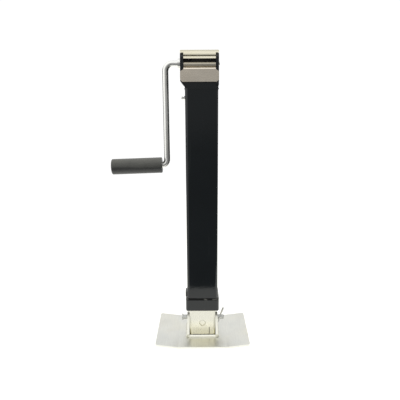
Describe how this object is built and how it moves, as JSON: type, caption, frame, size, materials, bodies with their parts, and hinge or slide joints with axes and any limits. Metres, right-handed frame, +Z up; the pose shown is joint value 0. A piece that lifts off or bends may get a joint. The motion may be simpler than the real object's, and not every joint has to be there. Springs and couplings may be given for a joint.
{
  "type": "trailer_tongue_jack",
  "caption": "Side-wind trailer tongue jack: black square post, bevel-gear head, drop crank with a grip, retractable zinc ram and a pinned foot plate",
  "frame": {"origin": "centre of the underside of the foot plate, on the post's vertical axis", "axes": "+Z up along the post; -Y is the front, +X to the right, the crank is on -X"},
  "size_m": [0.2865, 0.138, 0.604],
  "materials": {
    "black_paint": "glossy black enamel over steel",
    "zinc_plate": "satin zinc plating with a faint yellow cast",
    "plain_steel": "machined bare steel",
    "bronze": "sintered bronze",
    "grip_plastic": "dark grey moulded plastic, slightly satin"
  },
  "bodies": {
    "housing": {"outer_tube": "black_paint", "bottom_collar": "black_paint", "collar_weld": "black_paint", "side_pad": "black_paint", "grease_fitting": "zinc_plate", "gear_case": "black_paint", "case_weld": "black_paint", "front_cover": "zinc_plate", "rear_cover": "zinc_plate", "top_cap": "zinc_plate", "cap_rails": "zinc_plate", "cap_screws": "plain_steel", "tie_rods": "zinc_plate", "dust_shields": "black_paint", "left_bushing": "bronze", "right_bushing": "bronze", "screw_bushing": "bronze", "thrust_race_upper": "plain_steel", "thrust_balls": "plain_steel"},
    "screw": {"lead_screw": "plain_steel", "screw_collar": "plain_steel", "thrust_race_lower": "plain_steel", "bevel_gear": "plain_steel", "gear_pin": "plain_steel", "stop_washer": "plain_steel", "stop_pin": "plain_steel"},
    "crank": {"crank_handle": "zinc_plate", "crank_collar": "zinc_plate", "bevel_pinion": "plain_steel", "pinion_pin": "plain_steel", "grip_retainer": "zinc_plate"},
    "grip_body": {"grip": "grip_plastic"},
    "ram": {"ram_tube": "zinc_plate", "ram_plugs": "zinc_plate", "ram_nut": "plain_steel", "nut_pins": "plain_steel", "foot_bracket": "zinc_plate", "foot_plate": "zinc_plate", "foot_welds": "zinc_plate"},
    "pin": {"foot_pin": "zinc_plate"},
    "clip": {"hairpin_clip": "plain_steel"}
  },
  "joints": [
    {"name": "crank_turn", "type": "hinge", "parent": "housing", "child": "crank", "pos_m": [0, 0, 0.5817], "axis": [1, 0, 0], "range_deg": [0, 49500]},
    {"name": "screw_turn", "type": "hinge", "parent": "housing", "child": "screw", "pos_m": [0, 0, 0], "axis": [0, 0, 1], "range_deg": [-27000.01, 0]},
    {"name": "ram_slide", "type": "slide", "parent": "housing", "child": "ram", "axis": [0, 0, -1], "range_m": [0, 0.3811]},
    {"name": "grip_spin", "type": "hinge", "parent": "crank", "child": "grip_body", "pos_m": [-0.0822, 0, 0.3811], "axis": [-0.9995, 0, -0.0321], "continuous": true},
    {"name": "pin_spin", "type": "hinge", "parent": "ram", "child": "pin", "pos_m": [0, 0, 0.037], "axis": [1, 0, 0], "range_deg": [-100, 100]},
    {"name": "clip_pull", "type": "slide", "parent": "pin", "child": "clip", "axis": [0.342, 0, 0.9397], "range_m": [0, 0.03]}
  ],
  "couplings": [
    {"joint": "screw_turn", "follows": "crank_turn", "ratio": -0.54545},
    {"joint": "ram_slide", "follows": "crank_turn", "m_per_rad": 0.000441}
  ]
}
